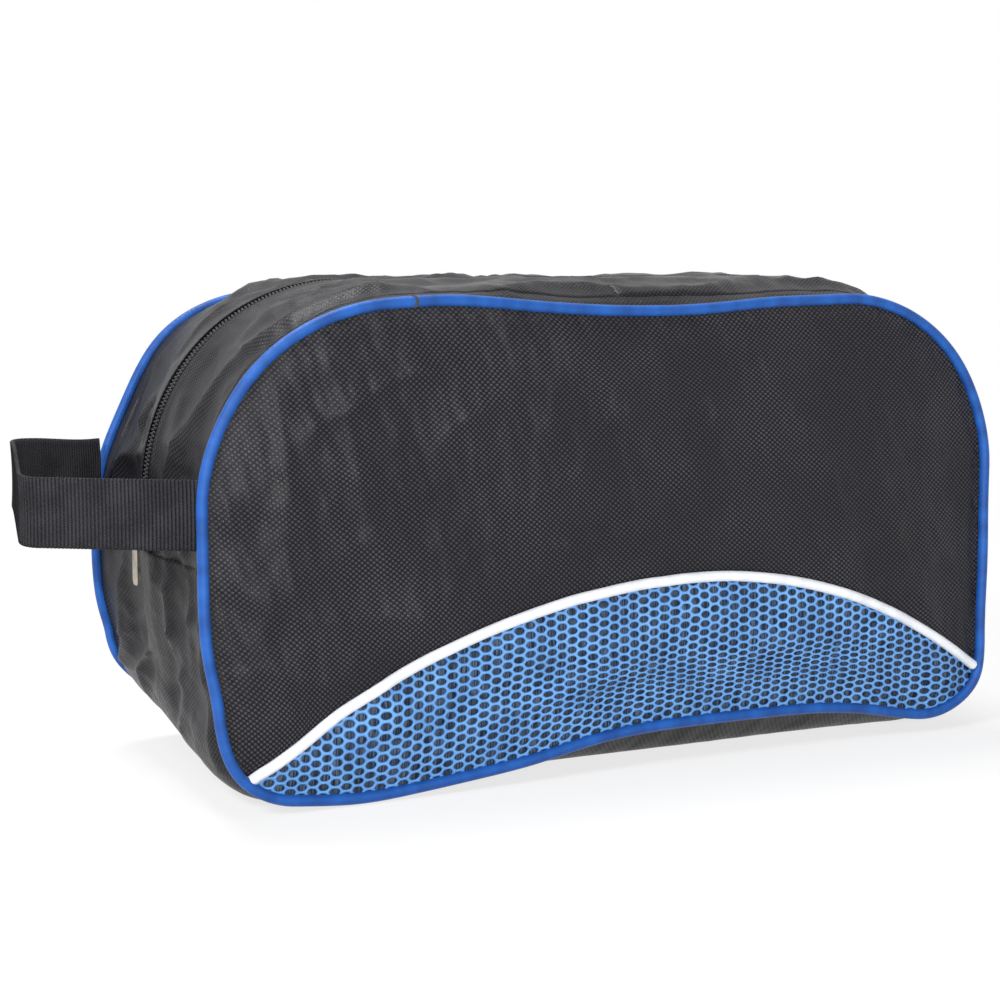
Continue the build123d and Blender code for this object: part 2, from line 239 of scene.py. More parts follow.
@dataclass(frozen=True)
class BagShape:
    """The shape that all the cloth follows: seam outline, crown outline and slack."""

    seam: Outline
    crown: Outline
    face: float
    flap_edge: float
    cross_seam: float
    bulge: float = 5.5 * MM
    arch_x: float = 30 * MM
    arch_top: float = 81 * MM
    arch_left: float = 334 * MM
    arch_right: float = 239 * MM

    @staticmethod
    def from_frame() -> BagShape:
        """Read the bag's overall sizes from the frame."""
        low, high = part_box("front_piping")
        bead = 2 * MM
        skin_low, skin_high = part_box("base_gusset")
        _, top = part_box("front_mouth_flap")
        _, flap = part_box("front_zip_gusset")
        seam = Outline(high.x - bead, low.z + bead, high.z - bead, 35 * MM, 78 * MM)
        crown = Outline(skin_high.x, skin_low.z, top.z, 35 * MM, 87 * MM)
        return BagShape(seam, crown, -low.y - bead, -flap.y, skin_high.z)

    def arch(self, x: float) -> float:
        """Give the height of the arch at x."""
        radius = self.arch_left if x < self.arch_x else self.arch_right
        run = min(abs(x - self.arch_x), radius)
        return self.arch_top - radius + math.sqrt(radius**2 - run**2)

    def settle(self, point: Vector) -> Vector:
        """Let a point of the stiff shape sag to where soft cloth lies.

        Args:
            point: A place on the stiff shape.

        Returns:
            The place after the base has lifted, the top has dipped and the corners have slumped.
        """
        seam = ease((abs(point.y) - 45 * MM) / (22 * MM))
        side = 1.0 if point.y < 0 else 0.45
        lift = 11 * MM * hump(point.x - 50 * MM, 88 * MM, 4) - 4.4 * MM * hump(point.x + 118 * MM, 36 * MM)
        low = 1 - ease((point.z - self.seam.low - 6 * MM) / (40 * MM))
        dip = 2 * MM * hump(point.x + 84 * MM, 30 * MM) - 4 * MM * hump(point.x - 12 * MM, 48 * MM)
        high = ease((point.z - 150 * MM) / (40 * MM)) * ease((abs(point.y) - 50 * MM) / (20 * MM))
        up = point.z - self.seam.low
        left = 5.5 * MM * hump(up - 30 * MM, 24 * MM) * ease((-point.x - 130 * MM) / (40 * MM))
        right = 4.0 * MM * hump(up - 12 * MM, 14 * MM) * ease((point.x - 140 * MM) / (25 * MM))
        rise = side * seam * lift * low + side * dip * high
        curl = ease((-point.x - 105 * MM) / (75 * MM)) * ease((point.y + 70 * MM) / (125 * MM))
        rise += 17 * MM * curl * (1 - ease((point.z - 4 * MM) / (66 * MM)))
        slump = 8 * MM * hump(point.z - 152 * MM, 30 * MM) * ease((-point.x - 110 * MM) / (60 * MM))
        slump *= ease((point.y - 5 * MM) / (45 * MM))
        return point + Vector((left + right + slump, 0, rise))

    def face_point(self, x: float, z: float, side: Side, back: float = 0.0) -> Vector:
        """Find a point on a long side of the bag.

        Args:
            x: Place along the bag.
            z: Height on the stiff shape.
            side: Front or back.
            back: How far behind the outer surface.

        Returns:
            The settled point on the gently bulging panel.
        """
        depth = max(self.seam.depth(x, z), 0.0)
        swell = self.bulge * (1 - (1 - min(depth / (62 * MM), 1)) ** 2)
        flat = Vector((x, 0, z))
        shift = 3.1 if side is Side.FRONT else 9.7
        calm = ease(depth / (18 * MM))
        loose = 0.55 + 0.6 * ease((40 * MM - x) / (170 * MM))
        lean = Vector((x + 0.45 * z, 0, z - 0.3 * x))
        wave = 1.3 * MM * calm * ripple(flat, Vector((70, 1, 46)) * MM, shift)
        wave += 1.9 * MM * calm * loose * fold(lean, Vector((46, 1, 95)) * MM, shift + 5)
        wave += 1.1 * MM * calm * loose * fold(flat, Vector((62, 1, 26)) * MM, shift + 8)
        wave += 0.55 * MM * calm * loose * ripple(lean, Vector((15, 1, 21)) * MM, shift + 2)
        wave += 0.2 * MM * calm * ripple(flat, Vector((7, 1, 8)) * MM, shift + 4)
        wave -= 0.8 * MM * ease(depth / (5 * MM)) * (1 - ease(depth / (14 * MM)))
        wave += 0.3 * MM * hump(depth - 7 * MM, 5 * MM) * ripple(flat, Vector((9, 1, 9)) * MM, shift)
        if side is Side.FRONT:
            window = ease((self.arch(x) - z) / (12 * MM))
            wave += 1.5 * MM * window * calm * ripple(flat, Vector((30, 1, 17)) * MM, 1.7)
            wave -= 1.6 * MM * hump(z - self.arch(x), 7 * MM)
            gather = ripple(flat, Vector((7, 1, 30)) * MM, 15.2) * hump(abs(z - self.arch(x)) - 7 * MM, 5 * MM)
            wave += 0.45 * MM * gather
        settled = self.settle(Vector((x, side.value * self.face, z)))
        settled.y = side.value * (self.face - 0.9 * MM - back + swell + wave)
        return settled

    def skin(self, distance: float, y: float) -> tuple[Vector, Vector]:
        """Find a point on the gusset that wraps round the bag.

        Args:
            distance: Distance round the seam outline from the middle of the base.
            y: Place across the bag.

        Returns:
            The settled point and the outward direction.
        """
        leg, share = self.seam.station(distance)
        low, out = self.seam.inset(0.5 * MM).at(leg, share)
        high, _ = self.crown.at(leg, share)
        reach = self.face - 2 * MM
        t = min(max((reach - abs(y)) / (reach - 43 * MM), 0.0), 1.0)
        point = low.lerp(high, 1 - (1 - t) ** 2.4)
        point.y = y
        base = hump(point.z, 22 * MM, 4)
        calm = ease((reach - abs(y)) / (16 * MM)) * (1 - 0.93 * base)
        zip_calm = 1 - hump(y, 15 * MM, 4) * (1 - base)
        long = Vector((90, 26, 60)) * MM
        height = 3.0 * MM * (fold(point, long, 4.4) - 0.45) * zip_calm
        height += 1.8 * MM * ripple(point, Vector((34, 20, 34)) * MM, 7.1) * zip_calm
        crease = 1.6 * MM * (1 - 0.65 * ease((point.z - 165 * MM) / (30 * MM)))
        height += crease * (fold(point, Vector((17, 30, 22)) * MM, 9.4) - 0.4) * zip_calm
        height += 0.45 * MM * ripple(point, Vector((8, 7, 8)) * MM, 2.2) * zip_calm
        end = ease((abs(point.x) - 150 * MM) / (30 * MM)) * ease((point.z - 20 * MM) / (40 * MM))
        hollow = -5.0 * MM * end * hump(abs(y) - 38 * MM, 26 * MM) * hump(point.z - 100 * MM, 75 * MM)
        seam_tuck = -0.9 * MM * hump(reach - abs(y) - 5 * MM, 5 * MM)
        point += out * (calm * (height + hollow) + seam_tuck)
        settled = self.settle(point)
        settled.z = max(settled.z, 0.0)
        return settled, out


# Mesh making

def new_piece(name: str, form: bmesh.types.BMesh, smooth: bool = True) -> bpy.types.Object:
    """Turn a finished bmesh into an object at the origin.

    Args:
        name: The piece's name.
        form: The bmesh, which is used up.
        smooth: Whether its faces shade smoothly.

    Returns:
        The new object, linked to the scene.
    """
    for face in form.faces:
        face.smooth = smooth
    mesh = bpy.data.meshes.new(name)
    form.to_mesh(mesh)
    form.free()
    piece = bpy.data.objects.new(name, mesh)
    bpy.context.scene.collection.objects.link(piece)
    return piece


def cloth_grid(columns: int, rows: int, place: Place, cut: Callable[[float, float], Pair]) -> bmesh.types.BMesh:
    """Lay a grid of cloth over a surface.

    Args:
        columns: Faces along the first direction.
        rows: Faces along the second direction.
        place: Gives the point for two shares from 0 to 1.
        cut: Gives the place on the flat cut, in metres, for the same shares.

    Returns:
        The grid, with its flat cut as its UV map.
    """
    form = bmesh.new()
    bmesh.ops.create_grid(form, x_segments=columns, y_segments=rows, size=1)
    layer = form.loops.layers.uv.new(UV_NAME)
    shares = {v: ((v.co.x + 1) / 2, (v.co.y + 1) / 2) for v in form.verts}
    for face in form.faces:
        for loop in face.loops:
            loop[layer].uv = cut(*shares[loop.vert])
    for vert, (a, b) in shares.items():
        vert.co = place(a, b)
    return form


def face_outwards(form: bmesh.types.BMesh, away: Callable[[Vector], Vector]) -> None:
    """Turn an open sheet's faces to the outside.

    Args:
        form: The sheet.
        away: Gives the outward direction at a point.
    """
    form.normal_update()
    lean = sum(face.normal.dot(away(face.calc_center_median())) * face.calc_area() for face in form.faces)
    if lean < 0:
        bmesh.ops.reverse_faces(form, faces=form.faces[:])
    form.normal_update()


def cut_area(form: bmesh.types.BMesh) -> float:
    """Give the area of a sheet's flat cut, in square metres."""
    layer = form.loops.layers.uv.active
    total = 0.0
    for face in form.faces:
        flat = [loop[layer].uv for loop in face.loops]
        total += abs(sum(a.cross(b) for a, b in zip(flat, flat[1:] + flat[:1]))) / 2
    return total


def thicken(piece: bpy.types.Object, thickness: float, smooth: int = 0) -> None:
    """Give a sheet its thickness, inwards from its outer face.

    Args:
        piece: The sheet.
        thickness: Its thickness in metres.
        smooth: Subdivision levels to add.
    """
    wall = piece.modifiers.new("cloth thickness", "SOLIDIFY")
    wall.thickness = thickness
    wall.offset = -1
    wall.use_even_offset = False
    if smooth:
        rounding = piece.modifiers.new("rounding", "SUBSURF")
        rounding.levels = smooth
        rounding.render_levels = smooth


def frames_along(line: list[Vector], up: Callable[[int], Vector]) -> list[Matrix]:
    """Stand a frame on each point of a line, its z along the line.

    Args:
        line: The points.
        up: Gives the direction of each frame's x.

    Returns:
        One matrix for each point.
    """
    frames = []
    for i, point in enumerate(line):
        ahead = (line[min(i + 1, len(line) - 1)] - line[max(i - 1, 0)]).normalized()
        side = up(i)
        side = (side - ahead * side.dot(ahead)).normalized()
        across = ahead.cross(side)
        turn = Matrix((side, across, ahead)).transposed().to_4x4()
        frames.append(Matrix.Translation(point) @ turn)
    return frames


def tube(line: list[Vector], up: Callable[[int], Vector], radius: float, sides: int, cap: bool) -> bmesh.types.BMesh:
    """Sweep a round tube along a line, with its length and turn kept on each point.

    Args:
        line: The points it follows.
        up: Gives the direction in which the turn is zero.
        radius: The tube's radius.
        sides: Faces round it.
        cap: Whether to close its ends; without, it is joined end to start.

    Returns:
        The tube.
    """
    frames = frames_along(line, up)
    form = bmesh.new()
    along = form.verts.layers.float.new("along")
    around = form.verts.layers.float.new("around")
    ring = bmesh.ops.create_circle(form, segments=sides, radius=radius, matrix=frames[0])["verts"]
    edges = list({edge for vert in ring for edge in vert.link_edges})
    walked = 0.0
    for i in range(len(frames)):
        if i:
            walked += (line[i] - line[i - 1]).length
            made = bmesh.ops.extrude_edge_only(form, edges=edges)["geom"]
            ring = [g for g in made if isinstance(g, bmesh.types.BMVert)]
            edges = [g for g in made if isinstance(g, bmesh.types.BMEdge)]
            bmesh.ops.transform(form, matrix=frames[i] @ frames[i - 1].inverted(), verts=ring)
        back = frames[i].inverted()
        for vert in ring:
            spot = back @ vert.co
            vert[along] = walked
            vert[around] = math.atan2(spot.y, spot.x)
    if cap:
        bmesh.ops.holes_fill(form, edges=[edge for edge in form.edges if edge.is_boundary])
    else:
        bmesh.ops.remove_doubles(form, verts=form.verts[:], dist=0.02 * MM)
    bmesh.ops.recalc_face_normals(form, faces=form.faces[:])
    return form


def stamp(form: bmesh.types.BMesh, shape: bpy.types.Mesh, places: list[Matrix]) -> None:
    """Copy a small shape to many places in one bmesh.

    Args:
        form: The bmesh that takes the copies.
        shape: The small shape.
        places: Where each copy goes.
    """
    for place in places:
        before = len(form.verts)
        form.from_mesh(shape)
        form.verts.ensure_lookup_table()
        bmesh.ops.transform(form, matrix=place, verts=form.verts[before:])


def bead_shape(size: Vector, around: int, along: int) -> bpy.types.Mesh:
    """Make a small rounded shape for stitches and coil turns.

    Args:
        size: Its full size along each axis.
        around: Faces round it.
        along: Faces from end to end.

    Returns:
        A mesh centred on its own origin.
    """
    form = bmesh.new()
    bmesh.ops.create_uvsphere(form, u_segments=around, v_segments=along, radius=0.5)
    bmesh.ops.scale(form, vec=size, verts=form.verts)
    mesh = bpy.data.meshes.new("small shape")
    form.to_mesh(mesh)
    form.free()
    return mesh


# Finishes

Colour = tuple[float, float, float, float]


def tint(red: int, green: int, blue: int) -> Colour:
    """Turn a display colour of 0 to 255 into the linear colour that shaders use."""

    def linear(level: int) -> float:
        share = level / 255
        return share / 12.92 if share <= 0.04045 else ((share + 0.055) / 1.055) ** 2.4

    return linear(red), linear(green), linear(blue), 1.0


class Bench:
    """Wires the nodes of one material."""

    def __init__(self, name: str) -> None:
        """Start a material with a principled shader."""
        self.material = bpy.data.materials.new(name)
        self.material.use_nodes = True
        self.tree = self.material.node_tree
        self.shader = self.tree.nodes["Principled BSDF"]

    def add(self, kind: str, **settings: object) -> bpy.types.Node:
        """Add a node and give it its settings."""
        node = self.tree.nodes.new(kind)
        for key, value in settings.items():
            setattr(node, key, value)
        return node

    def plug(self, value: object, socket: bpy.types.NodeSocket) -> None:
        """Link a socket to another, or set its value."""
        if isinstance(value, bpy.types.NodeSocket):
            self.tree.links.new(value, socket)
        else:
            socket.default_value = value

    def calc(self, operation: str, *values: object, clamp: bool = False) -> bpy.types.NodeSocket:
        """Work out one sum on sockets or numbers."""
        node = self.add("ShaderNodeMath", operation=operation, use_clamp=clamp)
        for value, socket in zip(values, node.inputs):
            self.plug(value, socket)
        return node.outputs[0]

    def blend(self, share: object, low: object, high: object) -> bpy.types.NodeSocket:
        """Mix two colours by a share."""
        node = self.add("ShaderNodeMix", data_type="RGBA")
        self.plug(share, node.inputs[0])
        self.plug(low, node.inputs[6])
        self.plug(high, node.inputs[7])
        return node.outputs[2]

    def span(self, value: object, low: float, high: float, out: Pair = (0.0, 1.0)) -> bpy.types.NodeSocket:
        """Stretch a range of values onto another, eased at both ends."""
        node = self.add("ShaderNodeMapRange", interpolation_type="SMOOTHSTEP")
        self.plug(value, node.inputs[0])
        for socket, number in zip(list(node.inputs)[1:5], (low, high, *out)):
            socket.default_value = number
        return node.outputs[0]

    def cut(self) -> tuple[bpy.types.NodeSocket, bpy.types.NodeSocket]:
        """Give the place on the flat cut in millimetres, along and across."""
        split = self.add("ShaderNodeSeparateXYZ")
        self.plug(self.add("ShaderNodeUVMap", uv_map=UV_NAME).outputs[0], split.inputs[0])
        return self.calc("MULTIPLY", split.outputs[0], 1 / MM), self.calc("MULTIPLY", split.outputs[1], 1 / MM)

    def mark(self, name: str) -> bpy.types.NodeSocket:
        """Read a number stored on the piece's points."""
        return self.add("ShaderNodeAttribute", attribute_name=name).outputs["Fac"]

    def place(self, u: object, v: object, w: object = 0.0) -> bpy.types.NodeSocket:
        """Join three numbers into a place."""
        node = self.add("ShaderNodeCombineXYZ")
        for value, socket in zip((u, v, w), node.inputs):
            self.plug(value, socket)
        return node.outputs[0]

    def wave(self, value: object, period: float) -> bpy.types.NodeSocket:
        """Give a cosine of a distance."""
        return self.calc("COSINE", self.calc("MULTIPLY", value, TURN / period))

    def grain(self, place: object, scale: float, detail: float = 2.0) -> bpy.types.NodeSocket:
        """Give noise between 0 and 1."""
        node = self.add("ShaderNodeTexNoise")
        self.plug(place, node.inputs["Vector"])
        node.inputs["Scale"].default_value = scale
        node.inputs["Detail"].default_value = detail
        return node.outputs[0]

    def solid(self) -> bpy.types.NodeSocket:
        """Give the place in the bag's own frame."""
        return self.add("ShaderNodeTexCoord").outputs["Object"]

    def finish(
        self,
        colour: object,
        roughness: object,
        height: object,
        relief: float,
        **numbers: float,
    ) -> bpy.types.Material:
        """Plug the finish into the shader.

        Args:
            colour: Base colour.
            roughness: Roughness.
            height: Relief between 0 and 1.
            relief: How deep the relief is, in metres.
            numbers: Other shader sockets, by name with underscores.

        Returns:
            The material.
        """
        self.plug(colour, self.shader.inputs["Base Color"])
        self.plug(roughness, self.shader.inputs["Roughness"])
        bump = self.add("ShaderNodeBump")
        bump.inputs["Distance"].default_value = relief
        bump.inputs["Strength"].default_value = 1.0
        self.plug(height, bump.inputs["Height"])
        self.plug(bump.outputs[0], self.shader.inputs["Normal"])
        for name, number in numbers.items():
            self.shader.inputs[name.replace("_", " ")].default_value = number
        return self.material


@dataclass(frozen=True)
class Nylon:
    """Woven nylon with staggered light flecks on a dark ground, brightened in broad patches of painted sheen."""

    name: str
    ground: Colour
    fleck: Colour
    column: float
    row: float
    slant: float
    shine: float
    crumple: float

    def build(self) -> bpy.types.Material:
        """Make the material."""
        bench = Bench(self.name)
        u, v = bench.cut()
        sway = bench.calc("MULTIPLY", bench.grain(bench.place(u, v), 0.05), 1.6)
        lean = bench.calc("ADD", bench.calc("MULTIPLY_ADD", v, self.slant, u), sway)
        rise = bench.calc("ADD", v, sway)
        weave = bench.calc("MULTIPLY", bench.wave(lean, self.column), bench.wave(rise, self.row))
        flecks = bench.span(weave, -0.15, 0.75)
        warp = bench.wave(bench.calc("ADD", u, bench.calc("MULTIPLY", v, 0.5)), 0.62)
        weft = bench.wave(bench.calc("SUBTRACT", v, bench.calc("MULTIPLY", u, 0.3)), 0.62)
        yarn = bench.calc("MULTIPLY_ADD", bench.calc("MULTIPLY", warp, weft), 0.5, 0.5)
        # Painted sheen: broad noise patches brighten the flecks where the satin would shine.
        patch = bench.span(bench.grain(bench.place(u, v), 0.022, 3), 0.38, 0.66, (0.72, 1.12))
        rub = bench.calc("MULTIPLY", bench.mark("rub"), bench.span(bench.grain(bench.place(u, v), 0.5), 0.35, 0.7))
        strong = bench.calc("MULTIPLY", flecks, patch)
        share = bench.calc("MULTIPLY_ADD", yarn, 0.12, bench.calc("MULTIPLY", strong, 0.88))
        share = bench.calc("MULTIPLY_ADD", rub, 0.22, share, clamp=True)
        colour = bench.blend(share, self.ground, self.fleck)
        rough = bench.calc("MULTIPLY_ADD", flecks, -0.12, self.shine + 0.06)
        rough = bench.calc("MULTIPLY_ADD", rub, 0.2, rough)
        weave_height = bench.calc("MULTIPLY_ADD", yarn, 0.03, bench.calc("MULTIPLY", flecks, 0.08))
        slope = bench.calc("MULTIPLY_ADD", v, 0.45, bench.calc("MULTIPLY", u, 1.25))
        run = bench.calc("MULTIPLY_ADD", u, -0.3, bench.calc("MULTIPLY", v, 0.5))
        crumple = bench.grain(bench.place(slope, run), 0.05, 2)
        height = bench.calc("MULTIPLY_ADD", crumple, self.crumple, weave_height)
        return bench.finish(colour, rough, height, 1 * MM, Specular_IOR_Level=0.17)


@dataclass(frozen=True)
class PipingCloth:
    """Smooth bias cloth drawn tight over a cord."""

    name: str
    colour: Colour
    shade: Colour
    sheen: float

    def build(self) -> bpy.types.Material:
        """Make the material."""
        bench = Bench(self.name)
        along = bench.calc("MULTIPLY", bench.mark("along"), 1 / MM)
        around = bench.calc("MULTIPLY", bench.mark("around"), 2.3)
        one = bench.wave(bench.calc("ADD", along, around), 0.85)
        two = bench.wave(bench.calc("SUBTRACT", along, around), 0.85)
        weave = bench.calc("MULTIPLY_ADD", bench.calc("MULTIPLY", one, two), 0.5, 0.5)
        pull = bench.grain(bench.place(along, bench.calc("MULTIPLY", around, 0.25)), 0.09, 2)
        ease_in = bench.span(pull, 0.3, 0.72)
        share = bench.calc("MULTIPLY_ADD", weave, 0.55, bench.calc("MULTIPLY", ease_in, 0.45))
        colour = bench.blend(share, self.shade, self.colour)
        rough = bench.calc("MULTIPLY_ADD", weave, -0.1, 0.46)
        height = bench.calc("MULTIPLY_ADD", weave, 0.8, bench.calc("MULTIPLY", pull, 0.2))
        return bench.finish(
            colour, rough, height, 0.07 * MM, Specular_IOR_Level=0.28, Sheen_Weight=self.sheen, Sheen_Roughness=0.35
        )


@dataclass(frozen=True)
class MeshThread:
    """Glossy knitted thread, with a painted highlight along its crest and painted shade towards the holes."""

    name: str
    deep: Colour
    bright: Colour

    def build(self) -> bpy.types.Material:
        """Make the material."""
        bench = Bench(self.name)
        u, v = bench.cut()
        crest = bench.mark("crest")
        twist = bench.wave(bench.calc("MULTIPLY_ADD", v, 0.8, u), 0.75)
        patch = bench.grain(bench.place(u, v), 0.045, 3)
        fine = bench.grain(bench.place(u, v), 0.9, 2)
        # Painted highlight and shade: the crest mark lightens the thread's crest and darkens it towards the hole edges;
        # the noise varies the tone at random.
        share = bench.calc("MULTIPLY_ADD", bench.span(crest, 0.2, 1.0), 0.55, bench.span(patch, 0.3, 0.7, (0.0, 0.3)))
        share = bench.calc("ADD", share, bench.calc("MULTIPLY_ADD", fine, 0.4, -0.2), clamp=True)
        colour = bench.blend(share, self.deep, self.bright)
        rough = bench.calc("MULTIPLY_ADD", fine, 0.2, 0.28)
        height = bench.calc("MULTIPLY_ADD", twist, 0.3, bench.calc("MULTIPLY", fine, 0.5))
        return bench.finish(colour, rough, height, 0.12 * MM, Specular_IOR_Level=0.55, Sheen_Weight=0.1)


@dataclass(frozen=True)
class LiningCloth:
    """Thin dull cloth with fine upright slubs, behind the window."""

    name: str
    dark: Colour
    pale: Colour

    def build(self) -> bpy.types.Material:
        """Make the material."""
        bench = Bench(self.name)
        u, v = bench.cut()
        slub = bench.grain(bench.place(bench.calc("MULTIPLY", u, 3.2), bench.calc("MULTIPLY", v, 0.22)), 0.5, 3)
        tuft = bench.grain(bench.place(u, bench.calc("MULTIPLY", v, 0.5)), 0.14, 2)
        yarn = bench.calc("MULTIPLY", bench.wave(u, 0.7), bench.wave(v, 0.7))
        share = bench.calc("MULTIPLY", bench.span(slub, 0.36, 0.68), bench.span(tuft, 0.25, 0.7, (0.35, 1.0)))
        share = bench.calc("MULTIPLY_ADD", yarn, 0.08, share, clamp=True)
        colour = bench.blend(share, self.dark, self.pale)
        rough = bench.calc("MULTIPLY_ADD", slub, 0.2, 0.62)
        return bench.finish(colour, rough, slub, 0.25 * MM, Specular_IOR_Level=0.2)


@dataclass(frozen=True)
class TapeCloth:
    """Close woven tape in a fine herringbone, for the zip and for binding."""

    name: str
    dark: Colour
    pale: Colour
    rib: float

    def build(self) -> bpy.types.Material:
        """Make the material."""
        bench = Bench(self.name)
        u, v = bench.cut()
        zigzag = bench.calc("PINGPONG", v, 1.6)
        twill = bench.wave(bench.calc("ADD", u, zigzag), self.rib)
        worn = bench.grain(bench.place(u, v), 0.18, 3)
        share = bench.calc("MULTIPLY_ADD", twill, 0.3, bench.span(worn, 0.3, 0.75, (0.25, 0.75)), clamp=True)
        colour = bench.blend(share, self.dark, self.pale)
        rough = bench.calc("MULTIPLY_ADD", worn, 0.2, 0.55)
        return bench.finish(colour, rough, twill, 0.12 * MM, Specular_IOR_Level=0.25, Sheen_Weight=0.08)


@dataclass(frozen=True)
class WebbingYarn:
    """Heavy ribbed webbing, its yarns fuzzed, with a painted highlight on each rib crest and painted shade between the
    ribs.
    """

    name: str
    dark: Colour
    pale: Colour

    def build(self) -> bpy.types.Material:
        """Make the material."""
        bench = Bench(self.name)
        u, v = bench.cut()
        ribs = bench.mark("rib")
        yarn = bench.wave(bench.calc("MULTIPLY_ADD", bench.wave(u, 3.0), 0.3, v), 0.95)
        fuzz = bench.grain(bench.place(bench.calc("MULTIPLY", u, 2.0), v), 0.9, 3)
        worn = bench.span(bench.grain(bench.place(u, v), 0.07, 2), 0.35, 0.7, (0.6, 1.05))
        # Painted highlight: the rib mark lightens each rib crest and leaves the grooves dark as painted shade; the worn
        # noise varies it at random.
        share = bench.calc("MULTIPLY", bench.calc("MULTIPLY_ADD", yarn, 0.16, bench.span(ribs, 0.1, 1.0)), worn)
        share = bench.calc("MULTIPLY_ADD", bench.span(fuzz, 0.4, 0.7), 0.25, share, clamp=True)
        colour = bench.blend(share, self.dark, self.pale)
        rough = bench.calc("MULTIPLY_ADD", fuzz, 0.15, 0.62)
        height = bench.calc("MULTIPLY_ADD", yarn, 0.3, bench.calc("MULTIPLY", fuzz, 0.7))
        return bench.finish(colour, rough, height, 0.2 * MM, Specular_IOR_Level=0.1)


@dataclass(frozen=True)
class MouldedNylon:
    """Hard shiny nylon of the zip coil and the sewing thread."""

    name: str
    dark: Colour
    pale: Colour
    gloss: float

    def build(self) -> bpy.types.Material:
        """Make the material."""
        bench = Bench(self.name)
        solid = bench.solid()
        grit = bench.grain(solid, 900, 2)
        cloud = bench.grain(solid, 90, 2)
        colour = bench.blend(bench.span(cloud, 0.3, 0.7), self.dark, self.pale)
        rough = bench.calc("MULTIPLY_ADD", grit, 0.25, self.gloss)
        return bench.finish(colour, rough, grit, 0.04 * MM, Specular_IOR_Level=0.4)


@dataclass(frozen=True)
class PlatedMetal:
    """Plated zip metal with fine scratches and duller patches at random."""

    name: str
    dark: Colour
    bright: Colour

    def build(self) -> bpy.types.Material:
        """Make the material."""
        bench = Bench(self.name)
        solid = bench.solid()
        stretch = bench.add("ShaderNodeMapping")
        bench.plug(solid, stretch.inputs["Vector"])
        stretch.inputs["Scale"].default_value = (1.0, 1.0, 0.12)
        scratch = bench.grain(stretch.outputs[0], 2600, 2)
        cloud = bench.grain(solid, 160, 3)
        share = bench.calc("MULTIPLY_ADD", scratch, 0.3, bench.span(cloud, 0.3, 0.7, (0.1, 0.7)), clamp=True)
        colour = bench.blend(share, self.dark, self.bright)
        rough = bench.calc("MULTIPLY_ADD", scratch, 0.18, 0.2)
        return bench.finish(colour, rough, scratch, 0.02 * MM, Metallic=1.0)


class Finishes:
    """Every finish on the bag, made once."""

    def __init__(self) -> None:
        """Make the materials."""
        self.panel = Nylon("panel nylon", tint(4, 4, 6), tint(66, 65, 72), 2.5, 2.1, 0.12, 0.32, 3.2).build()
        self.gusset = Nylon("gusset nylon", tint(7, 7, 9), tint(48, 48, 53), 2.2, 1.9, 0.3, 0.34, 2.6).build()
        self.blue = PipingCloth("blue piping", tint(30, 98, 184), tint(8, 46, 108), 0.02).build()
        self.white = PipingCloth("white piping", tint(238, 240, 243), tint(206, 210, 216), 0.1).build()
        # The thread's deep and bright blues are the painted-shade and painted-highlight ends of one blue.
        self.thread = MeshThread("blue mesh thread", tint(48, 104, 168), tint(112, 172, 232)).build()
        self.lining = LiningCloth("window lining", tint(24, 36, 54), tint(104, 124, 150)).build()
        self.tape = TapeCloth("zip tape", tint(20, 20, 22), tint(44, 44, 47), 0.8).build()
        self.binding = TapeCloth("seam binding", tint(24, 24, 26), tint(58, 58, 61), 1.1).build()
        # The webbing's pale colour serves the fuzz and the painted highlight on the rib crests.
        self.webbing = WebbingYarn("handle webbing", tint(2, 2, 3), tint(52, 52, 56)).build()
        self.coil = MouldedNylon("zip coil", tint(16, 16, 18), tint(38, 38, 41), 0.34).build()
        self.stitch = MouldedNylon("sewing thread", tint(30, 30, 33), tint(70, 70, 74), 0.45).build()
        self.metal = PlatedMetal("zip metal", tint(92, 84, 72), tint(186, 176, 158)).build()


# Sub-assemblies

@dataclass(frozen=True)
class Crew:
    """What every sub-assembly works with."""

    shape: BagShape
    finishes: Finishes


def dress(piece: bpy.types.Object, material: bpy.types.Material, slot: str, *nodes: str) -> bpy.types.Object:
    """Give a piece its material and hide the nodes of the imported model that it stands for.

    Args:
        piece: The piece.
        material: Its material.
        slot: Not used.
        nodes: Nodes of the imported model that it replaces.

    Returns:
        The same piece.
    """
    piece.data.materials.clear()
    piece.data.materials.append(material)
    if nodes:
        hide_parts(*nodes)
    LOG.info("%s: %d faces, %s", piece.name, len(piece.data.polygons), material.name)
    return piece


def mark_points(form: bmesh.types.BMesh, name: str, level: Callable[[Vector], float]) -> None:
    """Store a number on each point of a mesh.

    Args:
        form: The mesh.
        name: The attribute's name.
        level: Gives the number at a point.
    """
    layer = form.verts.layers.float.new(name)
    for vert in form.verts:
        vert[layer] = level(vert.co)


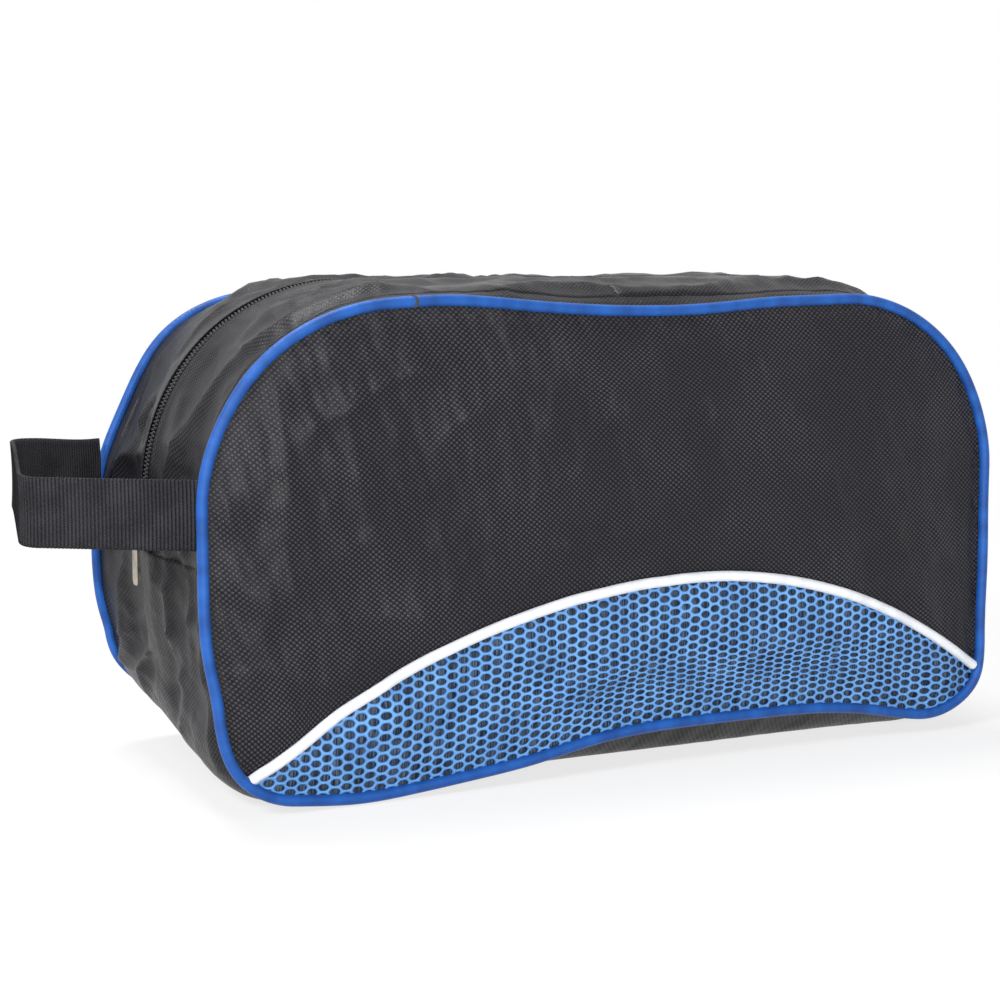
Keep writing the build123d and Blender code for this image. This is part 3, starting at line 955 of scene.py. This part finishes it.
@dataclass
class Panels:
    """The two long sides of woven nylon."""

    crew: Crew
    columns: int = 210
    rows: int = 92
    thickness: float = 0.6 * MM

    def side_cloth(self, side: Side) -> bmesh.types.BMesh:
        """Lay the cloth of one side, down to the arch on the front and to the base on the back."""
        shape = self.crew.shape

        def spot(a: float, b: float) -> Pair:
            x = shape.seam.half * math.sin((a - 0.5) * math.pi)
            low = shape.seam.bottom(x)
            if side is Side.FRONT:
                low = max(low, shape.arch(x))
            return x, low + (shape.seam.ceiling(x) - low) * b

        def cut(a: float, b: float) -> Pair:
            x, z = spot(a, b)
            return x * -side.value, z

        def place(a: float, b: float) -> Vector:
            return shape.face_point(*spot(a, b), side)

        form = cloth_grid(self.columns, self.rows, place, cut)
        face_outwards(form, lambda point: Vector((0, side.value, 0)))
        mark_points(form, "rub", lambda point: 1 - ease((shape.seam.depth(point.x, point.z) - 3 * MM) / (7 * MM)))
        return form

    def build(self) -> None:
        """Build both long sides."""
        for side, slotted in ((Side.FRONT, "front_panel"), (Side.BACK, "back_panel")):
            form = self.side_cloth(side)
            area = cut_area(form)
            piece = new_piece(f"{side.name.lower()}_panel_cloth", form)
            thicken(piece, self.thickness)
            dress(piece, self.crew.finishes.panel, "panel_nylon", slotted)
            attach(piece, "shell")


@dataclass
class Window:
    """The arched mesh window, its lining and its white piping."""

    crew: Crew
    column: float = 4.9 * MM
    row: float = 3.95 * MM
    thread: float = 1.05 * MM
    crest: float = 0.4 * MM
    lining_gap: float = 1.9 * MM
    bead: float = 2.25 * MM
    ends: Pair = (-171 * MM, 181.6 * MM)

    def low(self, x: float) -> float:
        """Give the window's lower edge at x."""
        return self.crew.shape.seam.bottom(x)

    def lattice(self) -> bmesh.types.BMesh:
        """Knit the mesh flat: staggered six-sided cells, open in the middle."""
        form = bmesh.new()
        shape = self.crew.shape
        first = int(self.ends[0] / self.column) - 2
        last = int(self.ends[1] / self.column) + 2
        reach = self.column / 1.5
        squeeze = self.row / (reach * math.sqrt(3))
        for i in range(first, last + 1):
            x = i * self.column
            for j in range(int(shape.arch_top / self.row) + 2):
                z = (j + 0.5 * (i % 2)) * self.row
                inside = self.ends[0] < x < self.ends[1]
                if not inside or z > shape.arch(x) + 0.5 * self.row or z < self.low(x) - 0.5 * self.row:
                    continue
                turn = Matrix.Rotation(math.pi / 2, 4, "Z")
                place = Matrix.Translation((x, z, 0)) @ Matrix.Diagonal((1, squeeze, 1, 1)) @ turn
                bmesh.ops.create_circle(form, segments=6, radius=reach, cap_ends=True, matrix=place)
        bmesh.ops.remove_doubles(form, verts=form.verts[:], dist=0.1 * MM)
        # The crest mark also sets the thread's painted highlight and shade in its material.
        crest = form.verts.layers.float.new("crest")
        for vert in form.verts:
            vert[crest] = 1.0
            still = Vector((vert.co.x, 0, vert.co.y))
            vert.co.x += 0.35 * MM * ripple(still, Vector((9, 1, 7)) * MM, 2.9)
            vert.co.y += 0.3 * MM * ripple(still, Vector((8, 1, 8)) * MM, 6.3)
        whole = form.faces[:]
        bmesh.ops.inset_individual(form, faces=whole, thickness=self.thread / 2, use_even_offset=True)
        for vert in {vert for face in whole for vert in face.verts}:
            vert[crest] = 0.0
        bmesh.ops.delete(form, geom=whole, context="FACES_ONLY")
        return form

    def mesh_cloth(self) -> bpy.types.Object:
        """Lay the knitted mesh over the window."""
        shape = self.crew.shape
        form = self.lattice()
        crest = form.verts.layers.float["crest"]
        for vert in form.verts:
            x = min(max(vert.co.x, self.ends[0]), self.ends[1])
            vert.co.x = x
            vert.co.y = min(max(vert.co.y, self.low(x)), max(shape.arch(x), self.low(x)))
        bmesh.ops.dissolve_degenerate(form, edges=form.edges[:], dist=0.05 * MM)
        layer = form.loops.layers.uv.new(UV_NAME)
        for face in form.faces:
            for loop in face.loops:
                loop[layer].uv = loop.vert.co.x, loop.vert.co.y
        net = cut_area(form)
        for vert in form.verts:
            stand = self.crest * vert[crest]
            vert.co = shape.face_point(vert.co.x, vert.co.y, Side.FRONT, -stand)
        face_outwards(form, lambda point: Vector((0, -1, 0)))
        piece = new_piece("mesh_window", form)
        rounding = piece.modifiers.new("rounding", "SUBSURF")
        rounding.levels = 1
        rounding.render_levels = 1
        thicken(piece, 0.4 * MM)
        dress(piece, self.crew.finishes.thread, "blue_mesh", "mesh_panel")
        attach(piece, "shell")
        LOG.info("mesh window: %.4f square metres of thread", net)
        return piece

    def lining(self) -> None:
        """Lay the dull lining behind the mesh."""
        shape = self.crew.shape

        def spot(a: float, b: float) -> Pair:
            middle = (self.ends[0] + self.ends[1]) / 2
            x = middle + (self.ends[1] - self.ends[0]) / 2 * math.sin((a - 0.5) * math.pi)
            low = self.low(x)
            return x, low + (max(shape.arch(x), low + 0.1 * MM) - low) * b

        def place(a: float, b: float) -> Vector:
            x, z = spot(a, b)
            tuck = 0.5 * MM * ripple(Vector((x, 0, z)), Vector((7, 1, 30)) * MM, 8.8)
            return shape.face_point(x, z, Side.FRONT, self.lining_gap + tuck)

        form = cloth_grid(150, 30, place, spot)
        face_outwards(form, lambda point: Vector((0, -1, 0)))
        area = cut_area(form)
        piece = new_piece("window_lining", form)
        thicken(piece, 0.4 * MM)
        dress(piece, self.crew.finishes.lining, "grey_lining", "mesh_lining")
        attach(piece, "shell")

    def arch_piping(self) -> None:
        """Run the white piping along the arch, its right end lapped over the blue."""
        shape = self.crew.shape
        steps = 220
        line = []
        for i in range(steps + 1):
            x = self.ends[0] - 0.5 * MM + (self.ends[1] - self.ends[0] - 1.2 * MM) * i / steps
            point = shape.face_point(x, shape.arch(x), Side.FRONT)
            lap = 1.6 * MM * (ease((x - 172 * MM) / (9 * MM)) + 0.5 * ease((-164 * MM - x) / (6 * MM)))
            line.append(point + Vector((0, -1.0 * MM - lap, 0)))
        form = tube(line, lambda i: Vector((0, -1, 0)), self.bead, 20, True)
        ends = [edge for edge in form.edges if len({len(face.verts) > 4 for face in edge.link_faces}) > 1]
        bmesh.ops.bevel(
            form,
            geom=ends,
            offset=1.3 * MM,
            offset_type="OFFSET",
            affect="EDGES",
            segments=4,
            profile=0.5,
            material=-1,
        )
        piece = new_piece("arch_piping_cloth", form)
        dress(piece, self.crew.finishes.white, "white_piping", "arch_piping", "arch_piping_cord")
        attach(piece, "shell")

    def build(self) -> None:
        """Build the window."""
        self.mesh_cloth()
        self.lining()
        self.arch_piping()


@dataclass
class Piping:
    """The blue piping round both long sides."""

    crew: Crew
    radius: float = 2.3 * MM
    joint: float = -97 * MM
    steps: int = 420
    sides: int = 20

    def line(self, side: Side) -> list[Vector]:
        """Follow the settled seam outline once round."""
        shape = self.crew.shape
        round_trip = sum(shape.seam.lengths())
        line = []
        for i in range(self.steps):
            distance = round_trip * i / self.steps
            leg, share = shape.seam.station(distance)
            point, out = shape.seam.at(leg, share)
            point.y = side.value * shape.face
            point = shape.settle(point)
            sway = ripple(point, Vector((38, 30, 38)) * MM, 12.4)
            line.append(point + out * 0.5 * MM * sway + Vector((0, side.value * 0.4 * MM * sway, 0)))
        return line

    def build(self) -> None:
        """Build both pipings."""
        for side in Side:
            line = self.line(side)
            outward = Vector((0, side.value, 0))
            form = tube(line + line[:1], lambda i: outward, self.radius, self.sides, False)
            name = side.name.lower()
            piece = new_piece(f"{name}_piping_cloth", form)
            nodes = (f"{name}_piping", f"{name}_piping_cord")
            dress(piece, self.crew.finishes.blue, "blue_piping", *nodes)
            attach(piece, "shell")
            self.closing_stitch(side, line)

    def closing_stitch(self, side: Side, line: list[Vector]) -> None:
        """Wind a few turns of dark thread round the piping where its two ends meet.

        Args:
            side: Front or back.
            line: The middle of the piping.
        """
        joint = Vector((self.joint, side.value * self.crew.shape.face, self.crew.shape.seam.high))
        spot = min(line, key=lambda point: (point - joint).length)
        form = bmesh.new()
        for turn in range(3):
            place = Matrix.Translation(spot + Vector(((turn - 1) * 0.45 * MM, 0, 0))) @ Matrix.Rotation(0.25, 4, "Z")
            ring = bmesh.ops.create_circle(
                form,
                segments=10,
                radius=0.24 * MM,
                matrix=place @ Matrix.Translation((0, self.radius + 0.08 * MM, 0)) @ Matrix.Rotation(TURN / 4, 4, "Z"),
            )["verts"]
            edges = list({edge for vert in ring for edge in vert.link_edges})
            bmesh.ops.rotate(form, cent=place.translation, matrix=Matrix.Identity(3), verts=ring)
            bmesh.ops.spin(
                form,
                geom=edges,
                cent=place.translation,
                axis=place.to_3x3() @ Vector((1, 0, 0)),
                angle=TURN,
                steps=24,
                use_merge=True,
            )
        bmesh.ops.remove_doubles(form, verts=form.verts[:], dist=0.005 * MM)
        bmesh.ops.recalc_face_normals(form, faces=form.faces[:])
        piece = new_piece(f"{side.name.lower()}_piping_stitch", form)
        dress(piece, self.crew.finishes.stitch, "blue_piping")
        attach(piece, "shell")


@dataclass
class Gusset:
    """The strip that wraps round the bag: base, ends and the cloth on both sides of the zip."""

    crew: Crew
    thickness: float = 0.6 * MM
    zip_edge: float = 5.5 * MM
    hinge: float = 64 * MM
    edge: float = 73.6 * MM
    cross_seam: float = 261 * MM
    step: float = 2.4 * MM
    blend_start: float = 92 * MM
    blend_end: float = 34 * MM

    def strip(self, name: str, distances: Pair, across: Pair) -> tuple[bpy.types.Object, float]:
        """Lay one strip of gusset cloth.

        Args:
            name: The piece's name.
            distances: Where it starts and ends round the bag.
            across: Where it starts and ends across the bag.

        Returns:
            The piece and the area of its cut.
        """
        shape = self.crew.shape

        def place(a: float, b: float) -> Vector:
            distance = distances[0] + (distances[1] - distances[0]) * a
            y = across[0] + (across[1] - across[0]) * b
            point, out = shape.skin(distance, y)
            lip = hump(abs(y) - self.zip_edge, 2.4 * MM) * 1.1 * MM if distances[0] > 0 else 0
            return point + out * lip

        def cut(a: float, b: float) -> Pair:
            return distances[0] + (distances[1] - distances[0]) * a, across[0] + (across[1] - across[0]) * b

        length = abs(distances[1] - distances[0])
        width = abs(across[1] - across[0])
        columns = max(2, round(length / self.step))
        rows = max(3, round(width / self.step))
        form = cloth_grid(columns, rows, place, cut)
        middle = Vector((0, 0, 100 * MM))
        face_outwards(form, lambda point: Vector(
            (point.x, 0, point.z - middle.z)))
        reach = shape.face
        mark_points(form, "rub", lambda point: hump(abs(point.y) - reach, 9 * MM) + hump(abs(point.y) - 5 * MM, 2 * MM))
        area = cut_area(form)
        return new_piece(name, form), area

    def zip_halves(self) -> None:
        """Lay the cloth beside the zip in four quarters, so that the mouth can open."""
        half = sum(self.crew.shape.seam.lengths()) / 2
        for side in Side:
            name = side.name.lower()
            for end in End:
                near = self.cross_seam if end is End.RIGHT else 2 * half - self.cross_seam
                across = (side.value * self.zip_edge, side.value * self.hinge)
                title = f"{name}_gusset_{end.name.lower()}"
                piece, area = self.strip(title, (near, half), across)
                thicken(piece, self.thickness)
                nodes = (f"{name}_zip_gusset", f"{name}_mouth_flap") if end is End.LEFT else ()
                dress(piece, self.crew.finishes.gusset, "gusset_nylon", *nodes)
                start = (end.value * self.blend_start, 0, 0.2)
                finish = (end.value * self.blend_end, 0, 0.2)
                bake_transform(piece, "shell", f"{name}_flap", start=start, end=finish)
            span = (self.cross_seam, 2 * half - self.cross_seam)
            piece, area = self.strip(f"{name}_gusset_edge", span, (side.value * self.hinge, side.value * self.edge))
            thicken(piece, self.thickness)
            dress(piece, self.crew.finishes.gusset, "gusset_nylon")
            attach(piece, "shell")

    def base(self) -> None:
        """Lay the base and the lower ends in one strip."""
        span = (-self.cross_seam, self.cross_seam)
        piece, area = self.strip("base_cloth", span, (-self.edge, self.edge))
        thicken(piece, self.thickness)
        dress(piece, self.crew.finishes.gusset, "gusset_nylon", "base_gusset")
        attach(piece, "shell")

    def bindings(self) -> None:
        """Fold tape over the raw seams inside."""
        shape = self.crew.shape
        trip = sum(shape.seam.lengths())
        for side in Side:
            def place(a: float, b: float) -> Vector:
                leg, share = shape.seam.station(trip * a * 0.99999)
                turn = (b - 0.5) * 1.5 * math.pi
                inner = shape.seam.inset(3.2 * MM - 1.5 * MM * math.sin(turn))
                point, _ = inner.at(leg, share)
                point.y = side.value * (66.5 * MM - 1.5 * MM * math.cos(turn) + (3.5 * MM if b in (0, 1) else 0))
                return shape.settle(point)

            def cut(a: float, b: float) -> Pair:
                return trip * a, b * 12 * MM

            form = cloth_grid(240, 8, place, cut)
            bmesh.ops.remove_doubles(form, verts=form.verts[:], dist=0.02 * MM)
            bmesh.ops.recalc_face_normals(form, faces=form.faces[:])
            piece = new_piece(f"{side.name.lower()}_binding_tape", form)
            thicken(piece, 0.3 * MM)
            dress(piece, self.crew.finishes.binding, "binding_tape", f"{side.name.lower()}_seam_binding")
            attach(piece, "shell")

    def build(self) -> None:
        """Build the gusset."""
        self.zip_halves()
        self.base()
        self.bindings()


@dataclass
class ZipChain:
    """The zip's tapes and coils, and the stitching that holds them."""

    crew: Crew
    pitch: float = 1.5 * MM
    tape_width: float = 15 * MM
    tape_gap: float = 0.6 * MM
    tape_drop: float = 0.8 * MM
    stitch_pitch: float = 3.2 * MM
    stitch_line: float = 7.6 * MM
    cross_seam: float = 261 * MM
    blend_start: float = 92 * MM
    blend_end: float = 34 * MM

    def frame_at(self, distance: float, y: float, lift: float) -> Matrix:
        """Stand a frame on the gusset: x along the zip, y across the bag, z outwards."""
        shape = self.crew.shape
        point, out = shape.skin(distance, y)
        ahead, _ = shape.skin(distance + 0.5 * MM, y)
        behind, _ = shape.skin(distance - 0.5 * MM, y)
        run = (ahead - behind).normalized()
        up = out - run * out.dot(run)
        up.normalize()
        turn = Matrix((run, up.cross(run), up)).transposed().to_4x4()
        return Matrix.Translation(point + up * lift) @ turn

    def join(self, piece: bpy.types.Object, side: Side, end: End) -> None:
        """Let a piece follow the mouth flap near the middle of the bag."""
        start = (end.value * self.blend_start, 0, 0.2)
        finish = (end.value * self.blend_end, 0, 0.2)
        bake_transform(piece, "shell", f"{side.name.lower()}_flap", start=start, end=finish)

    def quarter(self, side: Side, end: End) -> None:
        """Build the tape, coil and stitching of one quarter of the zip."""
        half = sum(self.crew.shape.seam.lengths()) / 2
        near = self.cross_seam if end is End.RIGHT else 2 * half - self.cross_seam
        name = f"{side.name.lower()}_zip"
        label = end.name.lower()

        def place(a: float, b: float) -> Vector:
            y = side.value * (self.tape_gap + (self.tape_width - self.tape_gap) * b)
            point, out = self.crew.shape.skin(near + (half - near) * a, y)
            return point - out * self.tape_drop

        def cut(a: float, b: float) -> Pair:
            return near + (half - near) * a, (self.tape_width - self.tape_gap) * b

        form = cloth_grid(110, 6, place, cut)
        face_outwards(form, lambda point: Vector((point.x, 0, point.z - 100 * MM)))
        area = cut_area(form)
        tape = new_piece(f"{name}_tape_cloth_{label}", form)
        thicken(tape, 0.6 * MM)
        nodes = (f"{name}_tape_{label}",) + ((f"{name}_tape_top",) if end is End.LEFT else ())
        dress(tape, self.crew.finishes.tape, "zip_tape", *nodes)
        self.join(tape, side, end)

        count = int(abs(half - near) / self.pitch)
        way = 1 if half > near else -1
        turn = bead_shape(Vector((1.0, 2.9, 1.6)) * MM, 8, 5)
        offset = 0.25 if side is Side.FRONT else 0.75
        spots = [near + way * self.pitch * (i + offset) for i in range(count)]
        places = [self.frame_at(spot, side.value * 1.35 * MM, 0.25 * MM) for spot in spots]
        form = bmesh.new()
        stamp(form, turn, places)
        coil = new_piece(f"{name}_coil_turns_{label}", form)
        nodes = (f"{name}_coil_{label}",) + ((f"{name}_coil_top",) if end is End.LEFT else ())
        dress(coil, self.crew.finishes.coil, "zip_coil", *nodes)
        self.join(coil, side, end)

        stitch = bead_shape(Vector((2.5, 0.5, 0.5)) * MM, 6, 4)
        count = int(abs(half - near) / self.stitch_pitch)
        spots = [near + way * self.stitch_pitch * (i + 0.5) for i in range(count)]
        places = [self.frame_at(spot, side.value * self.stitch_line, 0.05 * MM) for spot in spots]
        form = bmesh.new()
        stamp(form, stitch, places)
        row = new_piece(f"{name}_topstitch_{label}", form)
        dress(row, self.crew.finishes.stitch, "gusset_nylon")
        self.join(row, side, end)

    def build(self) -> None:
        """Build all four quarters."""
        for side in Side:
            for end in End:
                self.quarter(side, end)


@dataclass
class Handle:
    """The webbing grab handle on the left end."""

    crew: Crew
    width: float = 27 * MM
    thickness: float = 1.4 * MM
    rib: float = 1.5 * MM
    corners: tuple[Pair, ...] = (
        (-184.5 * MM, -71.4 * MM),
        (-244.5 * MM, -34.0 * MM),
        (-230.0 * MM, 40.0 * MM),
        (-184.5 * MM, 71.4 * MM),
    )
    bends: Pair = (12 * MM, 20 * MM)

    def route(self) -> list[Vector]:
        """Follow the loop in plan, straight between two rounded bends."""
        low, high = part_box("handle_loop")
        height = (low.z + high.z) / 2
        points = [Vector((x, y, height)) for x, y in self.corners]
        line = [points[0]]
        for before, corner, after, radius in zip(points, points[1:], points[2:], self.bends):
            into = (corner - before).normalized()
            away = (after - corner).normalized()
            angle = into.angle(away)
            trim = radius * math.tan(angle / 2)
            steps = 24
            for i in range(steps + 1):
                share = i / steps
                start = corner - into * trim
                finish = corner + away * trim
                line.append(start.lerp(corner, share).lerp(corner.lerp(finish, share), share))
        line.append(points[-1])
        return line

    def along(self, line: list[Vector], distance: float) -> tuple[Vector, Vector]:
        """Find the point and the direction at a distance along the loop."""
        for a, b in zip(line, line[1:]):
            length = (b - a).length
            if distance <= length:
                return a.lerp(b, distance / length), (b - a).normalized()
            distance -= length
        return line[-1], (line[-1] - line[-2]).normalized()

    def build(self) -> None:
        """Weave the loop with its ribs and scalloped edges."""
        line = self.route()
        length = sum((b - a).length for a, b in zip(line, line[1:]))
        columns = int(length / self.rib) * 4
        rib_level = {}

        def place(a: float, b: float) -> Vector:
            point, ahead = self.along(line, a * length)
            out = Vector((ahead.y, -ahead.x, 0))
            ribs = abs(math.cos(math.pi * a * length / self.rib))
            edge = abs(2 * b - 1)
            scallop = 0.45 * MM * ribs * ease((edge - 0.9) / 0.1)
            up = (b - 0.5) * (self.width - 0.6 * MM) + math.copysign(scallop, b - 0.5)
            sag = 7.0 * MM * ease((a - 0.32) / 0.3) - 4.5 * MM * ease((a - 0.72) / 0.28) - 1.2 * MM * (1 - a)
            cup = -0.5 * MM * (2 * b - 1) ** 2
            spot = point + out * (0.4 * MM * ribs + cup) + Vector((0, 0, up + sag))
            rib_level[(round(spot.x, 7), round(spot.y, 7), round(spot.z, 7))] = ribs
            return spot

        def cut(a: float, b: float) -> Pair:
            return a * length, b * self.width

        form = cloth_grid(columns, 14, place, cut)
        # The rib mark also sets the webbing's painted highlight on each rib crest.
        mark_points(form, "rib", lambda p: rib_level.get((round(p.x, 7), round(p.y, 7), round(p.z, 7)), 0.5))
        centre = Vector((-0.19, 0, 0.12))
        face_outwards(form, lambda point: point - centre)
        piece = new_piece("handle_webbing", form)
        thicken(piece, self.thickness)
        dress(piece, self.crew.finishes.webbing, "webbing", "handle_loop", "handle_front_tab", "handle_rear_tab")
        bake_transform(piece, "shell", "handle", start=(-0.187, 0, 0.12), end=(-0.205, 0, 0.12))


@dataclass
class SliderAndPull:
    """The zip's metal slider and the pull that hangs from it."""

    crew: Crew

    def build(self) -> None:
        """Plate both parts."""
        nodes = [item for item in bpy.data.objects if item.get("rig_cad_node") in ("slider_body", "pull_tab")]
        for node in nodes:
            node.data.materials.clear()
            node.data.materials.append(self.crew.finishes.metal)
            LOG.info("%s: plated", node.name)


@dataclass(frozen=True)
class Studio:
    """Floor, lights and camera."""

    target: tuple[float, float, float] = (-23 * MM, 0.0, 107.9 * MM)
    distance: float = 0.942
    yaw: float = -26.15
    pitch: float = 7.21
    lens: float = 76.57

    def camera(self) -> None:
        """Stand the camera in front of the bag, a little to the left and above."""
        data = bpy.data.cameras.new("camera")
        data.sensor_width = 36
        data.lens = self.lens
        camera = bpy.data.objects.new("camera", data)
        bpy.context.scene.collection.objects.link(camera)
        yaw, pitch = math.radians(self.yaw), math.radians(self.pitch)
        away = Vector((math.sin(yaw) * math.cos(pitch), -math.cos(yaw) * math.cos(pitch), math.sin(pitch)))
        camera.location = Vector(self.target) + away * self.distance
        camera.rotation_euler = (-away).to_track_quat("-Z", "Y").to_euler()
        bpy.context.scene.camera = camera

    def seen(self, bench: Bench) -> bpy.types.NodeSocket:
        """Give 1 for rays that show the background and 0 for rays that light the bag."""
        path = bench.add("ShaderNodeLightPath")
        rays = bench.calc("ADD", path.outputs["Is Camera Ray"], path.outputs["Is Glossy Ray"])
        return bench.calc("ADD", rays, path.outputs["Is Transmission Ray"], clamp=True)

    def floor(self) -> None:
        """Lay a plain pale floor that keeps the bag's shadow."""
        form = bmesh.new()
        bmesh.ops.create_grid(form, x_segments=2, y_segments=2, size=30)
        piece = new_piece("floor", form)
        bench = Bench("pale floor")
        bench.shader.inputs["Roughness"].default_value = 0.9
        bench.shader.inputs["Specular IOR Level"].default_value = 0.0
        speck = bench.blend(bench.grain(bench.solid(), 6), tint(240, 240, 240), tint(246, 246, 246))
        bench.plug(speck, bench.shader.inputs["Base Color"])
        glow = bench.add("ShaderNodeEmission")
        mix = bench.add("ShaderNodeMixShader")
        reach = bench.add("ShaderNodeVectorMath", operation="LENGTH")
        bench.plug(bench.solid(), reach.inputs[0])
        fade = bench.span(reach.outputs["Value"], 0.35, 1.1, (0.74, 1.0))
        bench.plug(bench.calc("MULTIPLY", self.seen(bench), fade), mix.inputs[0])
        bench.plug(bench.shader.outputs[0], mix.inputs[1])
        bench.plug(glow.outputs[0], mix.inputs[2])
        bench.plug(mix.outputs[0], bench.tree.nodes["Material Output"].inputs[0])
        piece.data.materials.append(bench.material)
        piece.location.z = -0.2 * MM

    def world(self) -> None:
        """Surround the bag with even pale light."""
        world = bpy.data.worlds.new("studio")
        bpy.context.scene.world = world
        world.use_nodes = True
        tree = world.node_tree
        path = tree.nodes.new("ShaderNodeLightPath")
        backdrop = tree.nodes["Background"]
        backdrop.inputs[0].default_value = (1, 1, 1, 1)
        total = path.outputs["Is Camera Ray"]
        for name in ("Is Glossy Ray", "Is Transmission Ray"):
            add = tree.nodes.new("ShaderNodeMath")
            add.operation = "ADD"
            add.use_clamp = True
            tree.links.new(total, add.inputs[0])
            tree.links.new(path.outputs[name], add.inputs[1])
            total = add.outputs[0]
        level = tree.nodes.new("ShaderNodeMapRange")
        level.inputs["To Min"].default_value = 0.24
        level.inputs["To Max"].default_value = 1.0
        tree.links.new(total, level.inputs["Value"])
        tree.links.new(level.outputs[0], backdrop.inputs[1])

    def lamp(self, name: str, place: tuple[float, float, float], size: float, power: float) -> None:
        """Hang one soft square lamp that points at the bag."""
        data = bpy.data.lights.new(name, "AREA")
        data.shape = "SQUARE"
        data.size = size
        data.energy = power
        lamp = bpy.data.objects.new(name, data)
        bpy.context.scene.collection.objects.link(lamp)
        lamp.location = place
        lamp.rotation_euler = (Vector((0, 0, 0.1)) - Vector(place)).to_track_quat("-Z", "Y").to_euler()

    def build(self) -> None:
        """Set up the studio."""
        self.camera()
        self.floor()
        self.world()
        self.lamp("key", (-1.3, -0.7, 1.1), 0.45, 19)
        self.lamp("overhead", (-0.2, 0.5, 1.9), 0.8, 31)
        self.lamp("front", (-0.65, -1.95, 0.55), 0.35, 26)
        bpy.context.scene.view_settings.view_transform = "Standard"


def main() -> None:
    """Build the bag and its studio."""
    logging.basicConfig(level=logging.INFO, format="%(name)s: %(message)s")
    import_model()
    crew = Crew(BagShape.from_frame(), Finishes())
    Studio().build()
    for maker in (Panels, Window, Piping, Gusset, ZipChain, Handle, SliderAndPull):
        maker(crew).build()


if __name__ == "__main__":
    main()
